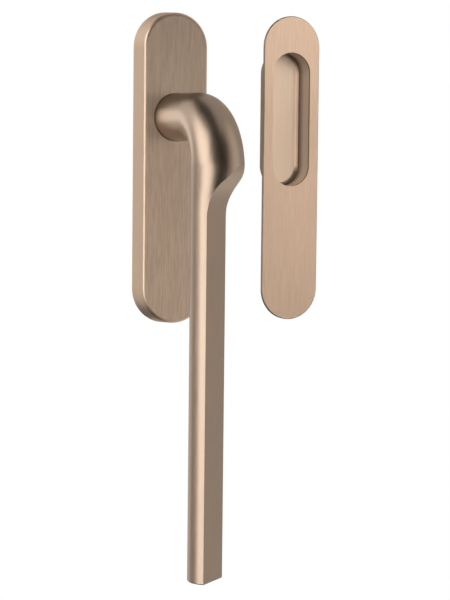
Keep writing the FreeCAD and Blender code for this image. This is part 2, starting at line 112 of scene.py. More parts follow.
class ScrewSettings(bpy.types.PropertyGroup):
    thread_radius: FloatProperty(
        name="Thread radius", description="Radius of the screw's thread",
        subtype="DISTANCE", unit="LENGTH", min=0.001, max=0.006, default=0.003)
    thread_pitch: FloatProperty(
        name="Thread pitch",
        description="Distance from one turn of the screw's thread to the next",
        subtype="DISTANCE", unit="LENGTH", min=0.0003, max=0.003, default=0.001)
    thread_depth: FloatProperty(
        name="Thread depth", description="Depth of the screw's thread",
        subtype="DISTANCE", unit="LENGTH", min=0.0001, max=0.001, default=0.0006)
    thread_start: FloatProperty(
        name="Thread start", description="Depth behind the door's face at which the thread starts",
        subtype="DISTANCE", unit="LENGTH", min=0.0, max=0.01, default=0.0005)
    waist_radius: FloatProperty(
        name="Waist radius", description="Radius of the shank above the thread",
        subtype="DISTANCE", unit="LENGTH", min=0.001, max=0.004, default=0.0027)
    head_radius: FloatProperty(
        name="Head radius", description="Radius of the screw's head",
        subtype="DISTANCE", unit="LENGTH", min=0.003, max=0.008, default=0.005)
    head_height: FloatProperty(
        name="Head height", description="Height of the screw's head",
        subtype="DISTANCE", unit="LENGTH", min=0.002, max=0.008, default=0.0044)
    key_width: FloatProperty(
        name="Key width", description="Width across the flats of the screw's key hole",
        subtype="DISTANCE", unit="LENGTH", min=0.002, max=0.006, default=0.004)
    bore_radius: FloatProperty(
        name="Bore radius", description="Radius of the bore in the pull's threaded sockets",
        subtype="DISTANCE", unit="LENGTH", min=0.001, max=0.004, default=0.0025)
    bore_depth: FloatProperty(
        name="Bore depth", description="Depth of the bore in the pull's threaded sockets",
        subtype="DISTANCE", unit="LENGTH", min=0.002, max=0.02, default=0.010)
    segments: IntProperty(
        name="Segments", description="Faces round one turn of a screw",
        min=12, max=96, default=32)


class StageSettings(bpy.types.PropertyGroup):
    camera_place: FloatVectorProperty(
        name="Camera place", description="Where the camera stands",
        subtype="TRANSLATION", unit="LENGTH", size=3, default=(-0.4535, -1.0097, -0.0130))
    camera_yaw: FloatProperty(
        name="Camera yaw",
        description="How far the camera is turned to the right of the door's normal",
        subtype="ANGLE", unit="ROTATION", default=math.radians(25.98))
    camera_pitch: FloatProperty(
        name="Camera pitch", description="How far the camera looks down",
        subtype="ANGLE", unit="ROTATION", default=math.radians(4.66))
    camera_roll: FloatProperty(
        name="Camera roll", description="How far the camera leans",
        subtype="ANGLE", unit="ROTATION", default=math.radians(0.62))
    camera_lens: FloatProperty(
        name="Lens", description="Focal length of the camera's lens",
        unit="CAMERA", min=20.0, max=400.0, default=116.96)
    floor_drop: FloatProperty(
        name="Floor drop", description="Distance of the floor under the grip's end",
        subtype="DISTANCE", unit="LENGTH", min=0.0, max=2.0, default=1.2)
    key_level: FloatProperty(
        name="Key screens", description="Brightness of the large screens on the left",
        min=0.0, max=5.0, default=2.3)
    back_level: FloatProperty(
        name="Back screens", description="Brightness of the screens behind the object's left",
        min=0.0, max=5.0, default=0.35)
    near_level: FloatProperty(
        name="Near screens",
        description="Brightness of the screens right of the camera, far behind and high up",
        min=0.0, max=5.0, default=0.78)
    right_level: FloatProperty(
        name="Right screens", description="Brightness of the dim screens on the right",
        min=0.0, max=5.0, default=0.42)
    high_level: FloatProperty(
        name="High card", description="Brightness of the card above the object's right side",
        min=0.0, max=5.0, default=0.46)
    plate_power: FloatProperty(
        name="Plate panels",
        description="Power of the two panels that only light the cover plate, together",
        unit="POWER", min=0.0, max=500.0, default=7.5)
    pull_power: FloatProperty(
        name="Pull panel", description="Power of the panel that only lights the flush pull",
        unit="POWER", min=0.0, max=500.0, default=21.5)
    neck_power: FloatProperty(
        name="Neck panel", description="Power of the small panel that only lights the lever",
        unit="POWER", min=0.0, max=5.0, precision=5, default=0.0007)
    neck_rise: FloatProperty(
        name="Neck panel rise", description="Slope of the line from the neck up to its panel",
        min=-1.0, max=1.0, default=0.04)
    side_power: FloatProperty(
        name="Side panel", description="Power of the soft panel on the left",
        unit="POWER", min=0.0, max=500.0, default=10.0)
    top_power: FloatProperty(
        name="Top panel", description="Power of the soft panel overhead",
        unit="POWER", min=0.0, max=500.0, default=6.0)
    fill_level: FloatProperty(
        name="Fill", description="Brightness of the pale surroundings as a soft fill light",
        min=0.0, max=2.0, default=0.55)


# Small helpers


def deselect_all():
    for item in bpy.context.selected_objects:
        item.select_set(False)


def take(item):
    """Make an object the only selected one, and the active one."""
    deselect_all()
    item.select_set(True)
    bpy.context.view_layer.objects.active = item


def settle(item, name):
    """Name a new piece and put its place into its mesh."""
    take(item)
    bpy.ops.object.transform_apply(location=True, rotation=True, scale=True)
    item.name = name
    item.data.name = name
    return item


def joined(items, name):
    """One piece of several."""
    deselect_all()
    for item in items:
        item.select_set(True)
    bpy.context.view_layer.objects.active = items[0]
    bpy.ops.object.join()
    return settle(bpy.context.view_layer.objects.active, name)


def smooth(item):
    """Smooth the faces over edges of less than 40 degrees."""
    take(item)
    bpy.ops.object.shade_smooth_by_angle(angle=math.radians(40))


def select_faces(item, test):
    """Select, in edit mode, the faces whose middle and normal pass the test."""
    bpy.ops.object.mode_set(mode="OBJECT")
    for edge in item.data.edges:
        edge.select = False
    for vertex in item.data.vertices:
        vertex.select = False
    for face in item.data.polygons:
        face.select = test(face.center, face.normal)
    bpy.ops.object.mode_set(mode="EDIT")
    bpy.ops.mesh.select_mode(type="FACE")


def give(item, material):
    """Give one material to a piece, through its slots."""
    if not item.data.materials:
        item.data.materials.append(material)
    for slot in item.material_slots:
        slot.material = material


def plain_surface(name, values):
    """A material with one Principled shader, and these values on its sockets."""
    material = bpy.data.materials.new(name)
    material.use_nodes = True
    shader = material.node_tree.nodes["Principled BSDF"]
    for socket, value in values.items():
        shader.inputs[socket].default_value = value
    return material


# Finishes


class Recipe:
    """A node material with one Principled shader, and short words for adding nodes.
    A source is a node's result: a number or a colour that varies over the surface."""

    def __init__(self, name, metallic=1.0):
        self.material = plain_surface(name, {"Metallic": metallic})
        self.tree = self.material.node_tree
        self.shader = self.tree.nodes["Principled BSDF"]
        self.coordinates = self.add("ShaderNodeTexCoord")

    def add(self, kind):
        return self.tree.nodes.new(kind)

    def link(self, source, target):
        self.tree.links.new(source, target)

    def set(self, socket, value):
        """Put a plain value on a socket of the shader."""
        self.shader.inputs[socket].default_value = value

    def feed(self, socket, source):
        """Link a source to a socket of the shader."""
        self.link(source, self.shader.inputs[socket])

    def fed(self, socket):
        """The source that a socket of the shader has now."""
        return self.shader.inputs[socket].links[0].from_socket

    def place(self, scale=(1.0, 1.0, 1.0), move=(0.0, 0.0, 0.0)):
        """The object's own coordinates, scaled and then moved."""
        mapping = self.add("ShaderNodeMapping")
        mapping.inputs["Scale"].default_value = scale
        mapping.inputs["Location"].default_value = move
        self.link(self.coordinates.outputs["Object"], mapping.inputs["Vector"])
        return mapping.outputs["Vector"]

    def split(self, vector):
        """The X, Y and Z of a vector."""
        parts = self.add("ShaderNodeSeparateXYZ")
        self.link(vector, parts.inputs["Vector"])
        return tuple(parts.outputs)

    def noise(self, vector, scale=1.0, detail=4.0, roughness=0.5):
        """Soft noise, most of it between 0.3 and 0.7, with about scale clouds to a metre."""
        node = self.add("ShaderNodeTexNoise")
        node.inputs["Scale"].default_value = scale
        node.inputs["Detail"].default_value = detail
        node.inputs["Roughness"].default_value = roughness
        self.link(vector, node.inputs["Vector"])
        return node.outputs["Fac"]

    def stretch(self, source, low, high, from_low=0.3, from_high=0.7):
        """A number drawn out to run from low to high, and held there beyond its range."""
        node = self.add("ShaderNodeMapRange")
        node.inputs["From Min"].default_value = from_low
        node.inputs["From Max"].default_value = from_high
        node.inputs["To Min"].default_value = low
        node.inputs["To Max"].default_value = high
        self.link(source, node.inputs["Value"])
        return node.outputs["Result"]

    def ramp(self, source, start, end):
        """0 up to the start, 1 from the end on, and evenly between them."""
        return self.stretch(source, 0.0, 1.0, start, end)

    def swing(self, noise, amount):
        """A factor that noise swings about 1 by an amount."""
        return self.stretch(noise, 1 - amount, 1 + amount)

    def count(self, operation, *values):
        """A sum on sources, or on a source and a plain number."""
        node = self.add("ShaderNodeMath")
        node.operation = operation
        for socket, value in zip(node.inputs, values):
            if isinstance(value, float):
                socket.default_value = value
            else:
                self.link(value, socket)
        return node.outputs["Value"]

    def unsigned(self, source):
        return self.count("ABSOLUTE", source)

    def times(self, first, second):
        return self.count("MULTIPLY", first, second)

    def past(self, source, limit):
        """1 where a number is past the limit, and 0 elsewhere."""
        return self.count("GREATER_THAN", source, limit)

    def colour_mix(self):
        """The amount, the two colours and the result of a new colour mixing node."""
        node = self.add("ShaderNodeMix")
        node.data_type = "RGBA"
        colours = [socket for socket in node.inputs if socket.type == "RGBA"]
        result = next(socket for socket in node.outputs if socket.type == "RGBA")
        return node.inputs[0], colours[0], colours[1], result

    def blend(self, amount, first, second):
        """A colour between two plain ones, by an amount that varies over the surface."""
        mixed, low, high, result = self.colour_mix()
        low.default_value = (*first, 1.0)
        high.default_value = (*second, 1.0)
        self.link(amount, mixed)
        return result

    def tint(self, amount, colour, dark, light):
        """Let the base colour run between a darker and a lighter shade of one colour."""
        self.feed("Base Color", self.blend(amount, shade(colour, dark), shade(colour, light)))

    def overlay(self, amount, colour):
        """Cover the base colour, by an amount, with a plain colour or a source."""
        mixed, low, high, result = self.colour_mix()
        self.link(amount, mixed)
        self.link(self.fed("Base Color"), low)
        if isinstance(colour, tuple):
            high.default_value = (*colour, 1.0)
        else:
            self.link(colour, high)
        self.feed("Base Color", result)

    def bump(self, height, strength, distance):
        node = self.add("ShaderNodeBump")
        node.inputs["Strength"].default_value = strength
        node.inputs["Distance"].default_value = distance
        self.link(height, node.inputs["Height"])
        self.feed("Normal", node.outputs["Normal"])


def shade(colour, factor):
    """A plain colour made darker or lighter."""
    return tuple(min(1.0, part * factor) for part in colour)


def brushed_bronze(name, colour, finish, rough, spread, contrast):
    """Metal with fine upright brushing lines, which spread its reflections sideways."""
    recipe = Recipe(name)
    across = 1.0 / finish.grain_width
    along = 1.0 / finish.grain_length
    fine = recipe.noise(recipe.place((across, across, along)), detail=3.0, roughness=0.6)
    broad = recipe.noise(recipe.place((across / 7, across / 7, along / 3)), detail=2.0)
    cloud = recipe.noise(recipe.place(), scale=22.0, detail=2.0)
    grain = recipe.times(recipe.swing(fine, contrast), recipe.swing(broad, contrast / 6))
    tone = recipe.times(grain, recipe.swing(cloud, 0.03))
    recipe.tint(recipe.ramp(tone, 0.8, 1.2), colour, dark=0.86, light=1.12)
    recipe.feed("Roughness", recipe.stretch(fine, rough - 0.05, rough + 0.06))
    recipe.bump(fine, strength=0.12, distance=0.00002)
    recipe.set("Anisotropic", spread)
    tangent = recipe.add("ShaderNodeTangent")
    tangent.direction_type = "RADIAL"
    tangent.axis = "Z"
    recipe.feed("Tangent", tangent.outputs["Tangent"])
    return recipe


def brushed_plate(name, colour, finish, rough, edge_rough, spread, contrast, painted_side_colour):
    """Brushed bronze for a plate that faces along Y: less brushing on its rounded edges, and a
    plain colour painted over the sides and rounded edges behind the face, which stands in for the
    light and shade they catch: painted lighter on the cover plate, darker on the pull."""
    recipe = brushed_bronze(name, colour, finish, rough, spread, contrast)
    facing = recipe.unsigned(recipe.split(recipe.coordinates.outputs["Normal"])[1])
    off_face = recipe.stretch(facing, 1.0, 0.0, 0.90, 0.98)
    edge_factor = recipe.stretch(off_face, 1.0, edge_rough / rough, 0.0, 1.0)
    recipe.feed("Roughness", recipe.times(recipe.fed("Roughness"), edge_factor))
    recipe.feed("Anisotropic", recipe.stretch(off_face, spread, 0.0, 0.0, 1.0))
    # Painted light and shade: the sides and rounded edges take a plain colour instead of their own
    # reflections.
    recipe.overlay(recipe.stretch(facing, 1.0, 0.0, 0.8, 0.995), painted_side_colour)
    return recipe.material


def brushed_recess(name, colour, finish, rough, spread, contrast, skin_colour):
    """Brushed bronze for the cup, with painted light and shade. Its floor is painted brighter
    towards the sides, a painted highlight. The slant round the floor is painted brighter along the
    sides, a painted highlight, and darker at the ends, most of all at the lower one, painted
    shade. The inner wall is painted brighter towards its front, a painted highlight, and darker at
    its root, painted shade. The outer skin is darker. The parts are told apart by their distance
    from the recess's middle line and by their depth."""
    recipe = brushed_bronze(name, colour, finish, rough, spread, contrast)
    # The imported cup: its outer edge to the recess, its wall, and the slant round the floor.
    flange = 0.0042
    wall = 0.0012
    slant = 0.002
    slack = 0.00005
    # Where a painted tone starts and ends: the root's painted shade by depth, the floor's painted
    # highlight at its sides by distance from the middle line, and the painted shade at the slant's
    # ends and at its lower end by distance past the straights.
    root_shade_depths = (0.006, 0.0115)
    floor_highlight_sides = (0.0055, 0.0095)
    end_shade_bend = 0.008
    lower_shade_fade = 0.004
    # The wall's colours: lighter at its front, a painted highlight, and darker at its root,
    # painted shade.
    wall_front_highlight = (0.69, 0.62, 0.54)
    root_shade = (0.24, 0.20, 0.16)

    low, high = CUP
    middle = (low + high) / 2
    half = (high.x - low.x) / 2 - flange
    straight = (high.z - low.z) / 2 - flange - half
    x, y, z = recipe.split(recipe.place(move=(-middle.x, 0.0, -middle.z)))
    rise = recipe.count("SUBTRACT", recipe.unsigned(z), straight)
    beyond = recipe.count("MAXIMUM", rise, 0.0)
    squares = recipe.count("ADD", recipe.times(x, x), recipe.times(beyond, beyond))
    reach = recipe.count("SQRT", squares)

    # The slant is painted lighter along the sides, a painted highlight, and darker at the ends,
    # painted shade.
    slant_light_and_shade = recipe.blend(recipe.ramp(beyond, 0.0, end_shade_bend),
                                shade(colour, 1.65), shade(colour, 0.85))
    # The wall is painted lighter at its front, a painted highlight, and darker at its root,
    # painted shade.
    wall_light_and_shade = recipe.blend(recipe.ramp(y, *root_shade_depths), wall_front_highlight, root_shade)
    # Painted highlight: the floor is lighter towards the wall at its sides.
    recipe.overlay(recipe.ramp(recipe.unsigned(x), *floor_highlight_sides), shade(colour, 1.22))
    on_slant = recipe.past(reach, half - slant + slack)
    recipe.overlay(on_slant, slant_light_and_shade)
    # Painted shade: the slant's lower end is darker still.
    lower_end_shade = recipe.ramp(z, -straight, -straight - lower_shade_fade)
    recipe.overlay(recipe.times(on_slant, lower_end_shade), shade(colour, 0.35))
    recipe.overlay(recipe.past(reach, half - slack), wall_light_and_shade)
    outside = recipe.past(reach, half + wall / 2)
    behind = recipe.past(y, high.y - wall / 2)
    recipe.overlay(recipe.count("MAXIMUM", outside, behind), shade(skin_colour, 0.7))
    return recipe.material


def satin_bronze(name, colour, finish):
    """Evenly blasted and lacquered metal, with faint polishing streaks along the bar."""
    recipe = Recipe(name)
    across = 1.0 / finish.grain_width
    along = 1.0 / finish.grain_length
    streak = recipe.noise(recipe.place((across / 2, across / 2, along)), detail=3.0)
    speck = recipe.noise(recipe.place(), scale=5200.0, detail=2.0)
    cloud = recipe.noise(recipe.place(), scale=30.0, detail=3.0)
    tone = recipe.times(recipe.swing(streak, 0.05), recipe.swing(cloud, 0.04))
    recipe.tint(recipe.ramp(tone, 0.88, 1.12), colour, dark=0.92, light=1.08)
    recipe.feed("Roughness", recipe.stretch(streak, 0.34, 0.40))
    recipe.bump(speck, strength=0.02, distance=0.00001)
    recipe.set("Coat Weight", 0.6)
    recipe.set("Coat Roughness", 0.32)
    return recipe.material


def zinc_steel(name, colour, turned=False):
    """Zinc plated steel: cloudy crystals under a bright skin, with turning marks on a part
    that is round about Y."""
    recipe = Recipe(name)
    crystals = recipe.add("ShaderNodeTexVoronoi")
    crystals.inputs["Scale"].default_value = 900.0
    recipe.link(recipe.place(), crystals.inputs["Vector"])
    grains = recipe.ramp(crystals.outputs["Distance"], 0.0, 0.9)
    marks = 14.0 if turned else 1.0
    cloud = recipe.noise(recipe.place((1.0, marks, 1.0)), scale=160.0)
    amount = recipe.times(recipe.stretch(cloud, 0.3, 1.0), grains)
    recipe.tint(amount, colour, dark=0.82, light=1.12)
    recipe.feed("Roughness", recipe.stretch(cloud, 0.28, 0.44))
    recipe.bump(cloud, strength=0.08, distance=0.00003)
    return recipe.material


def oiled_steel(name, colour):
    """Blackened spring steel with an oily, slightly patchy sheen."""
    recipe = Recipe(name, metallic=0.8)
    cloud = recipe.noise(recipe.place(), scale=420.0, detail=5.0)
    recipe.tint(recipe.stretch(cloud, 0.0, 1.0), colour, dark=0.7, light=1.8)
    recipe.feed("Roughness", recipe.stretch(cloud, 0.28, 0.5))
    recipe.bump(cloud, strength=0.1, distance=0.00002)
    return recipe.material


def bearing_plastic(name, colour):
    """Turned natural plastic: matt, slightly see-through, with lathe rings."""
    recipe = Recipe(name, metallic=0.0)
    rings = recipe.noise(recipe.place((1.0, 30.0, 1.0)), scale=260.0, detail=2.0)
    cloud = recipe.noise(recipe.place(), scale=120.0)
    recipe.tint(recipe.stretch(cloud, 0.0, 1.0), colour, dark=0.94, light=1.03)
    recipe.feed("Roughness", recipe.stretch(rings, 0.42, 0.55))
    recipe.bump(rings, strength=0.15, distance=0.00003)
    recipe.set("Subsurface Weight", 0.05)
    recipe.set("Subsurface Radius", (0.002, 0.002, 0.0015))
    return recipe.material


class DoorHandleCoverPlate(bpy.types.Operator):
    """Give the cover plate its brushed bronze"""

    bl_idname = "door_handle.cover_plate"
    bl_label = "Cover Plate"

    def execute(self, context):
        finish = context.scene.door_handle_finish
        # The plate's sides are painted 1.5 times lighter: a painted reflection of the bright
        # screens behind the object's left.
        give(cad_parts["cover_plate"], brushed_plate(
            "bronze_plate", finish.plate_colour, finish, rough=0.50, edge_rough=0.46,
            spread=0.95, contrast=0.38, painted_side_colour=shade(finish.plate_colour, 1.5)))
        return {"FINISHED"}


class DoorHandleLever(bpy.types.Operator):
    """Give the lever its satin bronze"""

    bl_idname = "door_handle.lever"
    bl_label = "Lever"

    def execute(self, context):
        finish = context.scene.door_handle_finish
        bronze = satin_bronze("bronze_lever", finish.lever_colour, finish)
        give(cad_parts["lever_handle"], bronze)
        return {"FINISHED"}


class DoorHandleFlushPull(bpy.types.Operator):
    """Give the flush pull's face and recess their brushed bronze"""

    bl_idname = "door_handle.flush_pull"
    bl_label = "Flush Pull"

    def execute(self, context):
        finish = context.scene.door_handle_finish
        # The pull's sides are painted darker than the plate's bronze: painted shade.
        give(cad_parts["flush_face_plate"], brushed_plate(
            "bronze_pull_face", finish.lit_pull_colour, finish, rough=0.66, edge_rough=0.5,
            spread=0.88, contrast=0.16, painted_side_colour=shade(finish.plate_colour, 0.6)))
        give(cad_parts["recess_cup"], brushed_recess(
            "bronze_recess", finish.lit_recess_colour, finish, rough=0.58,
            spread=0.4, contrast=0.06, skin_colour=finish.plate_colour))
        return {"FINISHED"}


class DoorHandleFittings(bpy.types.Operator):
    """Give the steel and plastic parts behind the plates their finishes"""

    bl_idname = "door_handle.fittings"
    bl_label = "Fittings"

    def execute(self, context):
        finish = context.scene.door_handle_finish
        flat_zinc = zinc_steel("zinc_flat", finish.zinc_colour)
        turned_zinc = zinc_steel("zinc_turned", finish.zinc_colour, turned=True)
        black = oiled_steel("oiled_black", finish.oiled_colour)
        plastic = bearing_plastic("natural_plastic", finish.plastic_colour)
        coats = {
            flat_zinc: ("base_plate", "spindle"),
            turned_zinc: ("support_washer", "screw_washers", "threaded_sockets"),
            black: ("retaining_ring", "spindle_set_screw"),
            plastic: ("bearing_bush", "thrust_washer"),
        }
        for material, names in coats.items():
            for name in names:
                give(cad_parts[name], material)
        return {"FINISHED"}


# Pieces made here


# One turn of a thread's tooth, in shares of its depth and of its pitch
TOOTH = ((0.0, 0.0), (0.9, 0.40), (0.9, 0.52), (0.0, 0.92), (0.0, 1.0))


def thread_surface(name, centre, radius, depth, pitch, start, end, segments):
    """A screw thread about a line along Y: one tooth, wound by a Screw modifier."""
    deselect_all()
    bpy.ops.mesh.primitive_plane_add(size=pitch, location=(0, 0, 0))
    tooth = bpy.context.active_object
    outline = bmesh.new()
    corners = [outline.verts.new((radius - depth + depth * out, 0.0, pitch * along))
               for out, along in TOOTH]
    for first, second in zip(corners, corners[1:]):
        outline.edges.new((first, second))
    outline.to_mesh(tooth.data)
    outline.free()
    winding = tooth.modifiers.new("winding", "SCREW")
    winding.axis = "Z"
    winding.screw_offset = pitch
    winding.iterations = math.ceil((end - start) / pitch) + 1
    winding.steps = segments
    winding.render_steps = segments
    winding.use_merge_vertices = True
    winding.merge_threshold = pitch / 100
    bpy.ops.object.modifier_apply(modifier=winding.name)
    # Along Y now, from half a turn before the start, and trimmed flat at both ends.
    tooth.rotation_euler = (math.radians(-90), 0, 0)
    tooth.location = (centre[0], start - pitch / 2, centre[2])
    bpy.ops.object.transform_apply(location=True, rotation=True, scale=True)
    for place, outwards in ((start, (0, -1, 0)), (end, (0, 1, 0))):
        bpy.ops.object.mode_set(mode="EDIT")
        bpy.ops.mesh.select_all(action="SELECT")
        bpy.ops.mesh.bisect(plane_co=(centre[0], place, centre[2]), plane_no=outwards,
                            clear_outer=True, use_fill=False)
        bpy.ops.object.mode_set(mode="OBJECT")
    return settle(tooth, name)


def round_bar(name, centre, radius, start, end, segments, bevel=0.0):
    """A round bar along Y, with softened ends where it has a bevel."""
    deselect_all()
    bpy.ops.mesh.primitive_cylinder_add(
        vertices=segments, radius=radius, depth=end - start,
        location=(centre[0], (start + end) / 2, centre[2]), rotation=(math.radians(90), 0, 0))
    bar = bpy.context.active_object
    bpy.ops.object.transform_apply(location=True, rotation=True, scale=True)
    if bevel:
        edge = bar.modifiers.new("edge", "BEVEL")
        edge.width = bevel
        edge.segments = 2
        edge.limit_method = "ANGLE"
        edge.angle_limit = math.radians(60)
        bpy.ops.object.modifier_apply(modifier=edge.name)
    bar.name = name
    return bar


def screw_head(name, centre, front, sizes):
    """A cap head with a hexagon key hole sunk into its front."""
    bevel = 0.0003
    # How far the front is inset towards the key hole's corners, how deep the hole is in
    # the head, and from where to where a vertex counts as one of the hole's wall.
    inset_share = 0.8
    depth_share = 0.45
    off_axis = 0.0001
    reach_share = 1.15
    head = round_bar(name, centre, sizes.head_radius, front, front + sizes.head_height,
                     2 * sizes.segments, bevel)
    forwards = Vector((0, -1, 0))
    select_faces(head, lambda middle, normal: normal.dot(forwards) > 0.99)
    corner = sizes.key_width / math.sqrt(3)
    bpy.ops.mesh.inset(thickness=(sizes.head_radius - corner) * inset_share, depth=0)
    bpy.ops.mesh.extrude_region_move(
        TRANSFORM_OT_translate={"value": (0, sizes.head_height * depth_share, 0)})
    bpy.ops.object.mode_set(mode="OBJECT")
    # The wall of the key hole is drawn to a hexagon.
    for vertex in head.data.vertices:
        x = vertex.co.x - centre[0]
        z = vertex.co.z - centre[2]
        reach = math.hypot(x, z)
        if off_axis < reach < corner * reach_share:
            turn = math.atan2(z, x) % math.radians(60) - math.radians(30)
            hexagon = sizes.key_width / 2 / math.cos(turn)
            vertex.co.x = centre[0] + x / reach * hexagon
            vertex.co.z = centre[2] + z / reach * hexagon
    return head


class DoorHandleFixingScrews(bpy.types.Operator):
    """Make the two fixing screws with cap heads, plain waists and cut threads"""

    bl_idname = "door_handle.fixing_screws"
    bl_label = "Fixing Screws"

    def execute(self, context):
        sizes = context.scene.door_handle_screws
        finish = context.scene.door_handle_finish
        low, high = SCREWS
        # The waist reaches a little into the head and the core, the core stays just under
        # the thread's root, and the thread stops short of the bevelled tip.
        overlap = 0.0002
        core_slack = 0.00002
        tip_bevel = 0.0002
        tip = 0.0004
        head_back = low.y + sizes.head_height
        start = sizes.thread_start
        core = sizes.thread_radius - sizes.thread_depth - core_slack
        parts = []
        for index, level in enumerate((high.z - sizes.head_radius, low.z + sizes.head_radius)):
            centre = (0.0, 0.0, level)
            parts += [
                screw_head(f"head_{index}", centre, low.y, sizes),
                round_bar(f"waist_{index}", centre, sizes.waist_radius,
                          head_back - overlap, start + overlap, sizes.segments),
                round_bar(f"core_{index}", centre, core,
                          start, high.y, sizes.segments, tip_bevel),
                thread_surface(f"thread_{index}", centre, sizes.thread_radius,
                               sizes.thread_depth, sizes.thread_pitch,
                               start, high.y - tip, sizes.segments),
            ]
        screws = joined(parts, "fixing_screws_cut")
        smooth(screws)
        give(screws, zinc_steel("zinc_screws", finish.zinc_colour, turned=True))
        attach(screws, "root")
        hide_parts("fixing_screws")
        return {"FINISHED"}


class DoorHandleSocketThreads(bpy.types.Operator):
    """Cut the thread that shows inside the flush pull's two sockets"""

    bl_idname = "door_handle.socket_threads"
    bl_label = "Socket Threads"

    def execute(self, context):
        sizes = context.scene.door_handle_screws
        finish = context.scene.door_handle_finish
        low, high = SOCKETS
        # One size of thread under the screws', which stops short of the socket's mouth.
        depth = sizes.thread_depth * 0.6
        pitch = sizes.thread_pitch * 0.8
        mouth = 0.0003
        middle = (low.x + high.x) / 2
        radius = (high.x - low.x) / 2
        threads = joined([
            thread_surface(f"bore_thread_{index}", (middle, 0.0, level), sizes.bore_radius,
                           depth, pitch, high.y - sizes.bore_depth, high.y - mouth,
                           sizes.segments)
            for index, level in enumerate((high.z - radius, low.z + radius))
        ], "socket_threads")
        # The thread is seen from inside.
        bpy.ops.object.mode_set(mode="EDIT")
        bpy.ops.mesh.select_all(action="SELECT")
        bpy.ops.mesh.flip_normals()
        bpy.ops.object.mode_set(mode="OBJECT")
        smooth(threads)
        give(threads, zinc_steel("zinc_sockets_inside", finish.zinc_colour, turned=True))
        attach(threads, "root")
        return {"FINISHED"}


# Stage


FLOOR_SIZE = 24.0

# The panels: their size, and the distance of those that light some pieces only
PANEL_SIZE = 1.2
LINKED_PANEL_DISTANCE = 1.6

# The spot on the neck's left side that its panel lights, the level way from there to the
# panel, and the panel's distance, width, height and beam
NECK_SPOT = Vector((-0.0131, -0.028, 0.001))
NECK_PANEL_WAY = (-0.437, 0.896)
NECK_PANEL_DISTANCE = 0.1
NECK_PANEL_SIZE = (0.04, 0.05)
NECK_PANEL_BEAM = math.radians(60)

# Upright screens round the object, from the floor to the ceiling, and the key one's top
SCREEN_DISTANCE = 2.8
SCREEN_STRIPS = 180
CEILING = 3.1
KEY_TOP = 2.35
# Azimuths of the key screen's two ends, which lean to the left between two heights
KEY_LOW = (-88, -40)
KEY_HIGH = (-120, -60)
LEAN_HEIGHTS = (-0.15, 0.5)
LEAN_STEPS = 8
# Azimuths where the other screens meet
BACK_EDGE = -142
BLACK_EDGE = 24
DIM_EDGE = 42
NEAR_EDGE = 80
# Where the dark card on the ground meets the pale one, and how far they are off the floor
GROUND_SPLIT = 0.35
GROUND_RISE = 0.01

# Colours of the floor, the cards and the neck's panel
FLOOR_COLOUR = (0.82, 0.82, 0.81)
BLACK = (0.015, 0.014, 0.013)
SOFT_WHITE = (1.0, 0.97, 0.93)
COOL_WHITE = (0.98, 0.98, 0.97)
WARM_WHITE = (1.0, 0.93, 0.86)
NECK_WHITE = (1.0, 0.92, 0.84)

# The camera's sensor in millimetres, and how near and far it sees
SENSOR_WIDTH = 36.0
CAMERA_RANGE = (0.05, 50.0)


def seen_or_mirrored(tree):
    """1 for what the camera sees and what metal mirrors, and 0 for light on the object."""
    rays = tree.nodes.new("ShaderNodeLightPath")
    either = tree.nodes.new("ShaderNodeMath")
    either.operation = "MAXIMUM"
    tree.links.new(rays.outputs["Is Camera Ray"], either.inputs[0])
    tree.links.new(rays.outputs["Is Glossy Ray"], either.inputs[1])
    return either.outputs["Value"]


def pale_surface(name, colour):
    """Matt and pale; the camera and reflections see plain white."""
    material = plain_surface(name, {"Base Color": (*colour, 1.0), "Roughness": 0.9})
    tree = material.node_tree
    white = tree.nodes.new("ShaderNodeEmission")
    mix = tree.nodes.new("ShaderNodeMixShader")
    tree.links.new(seen_or_mirrored(tree), mix.inputs["Fac"])
    tree.links.new(tree.nodes["Principled BSDF"].outputs["BSDF"], mix.inputs[1])
    tree.links.new(white.outputs["Emission"], mix.inputs[2])
    tree.links.new(mix.outputs["Shader"], tree.nodes["Material Output"].inputs["Surface"])
    return material


def dark_surface(name):
    """Matt black, with no gloss."""
    return plain_surface(name, {
        "Base Color": (*BLACK, 1.0), "Roughness": 1.0, "Specular IOR Level": 0.0})


def glow_surface(name, level, colour=SOFT_WHITE):
    """A card that glows evenly."""
    return plain_surface(name, {
        "Base Color": (0.0, 0.0, 0.0, 1.0), "Specular IOR Level": 0.0,
        "Emission Color": (*colour, 1.0), "Emission Strength": level})


def compass(azimuth, distance, height):
    """A place round the object; azimuth 0 is in front, and it grows to the right."""
    turn = math.radians(azimuth)
    return Vector((distance * math.sin(turn), -distance * math.cos(turn), height))


def panel(name, place, target, width, height, power):
    """A soft lamp that faces its target."""
    data = bpy.data.lights.new(name, "AREA")
    data.shape = "RECTANGLE"
    data.size = width
    data.size_y = height
    data.energy = power
    lamp = bpy.data.objects.new(name, data)
    bpy.context.scene.collection.objects.link(lamp)
    lamp.location = place
    lamp.rotation_euler = (target - place).to_track_quat("-Z", "Y").to_euler()
    lamp.visible_camera = False
    return lamp


def link_light(lamp, pieces, own_shadows):
    """Let a lamp light some pieces only, and let only these throw its shadows if so told."""
    lit = bpy.data.collections.new(lamp.name)
    for piece in pieces:
        lit.objects.link(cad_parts[piece])
    lamp.light_linking.receiver_collection = lit
    if own_shadows:
        lamp.light_linking.blocker_collection = lit


def mirrored_only(item, name, material):
    """Make a stage card that only the metal's reflections show."""
    item.name = name
    give(item, material)
    item.visible_camera = False
    item.visible_shadow = False
    item.visible_diffuse = False


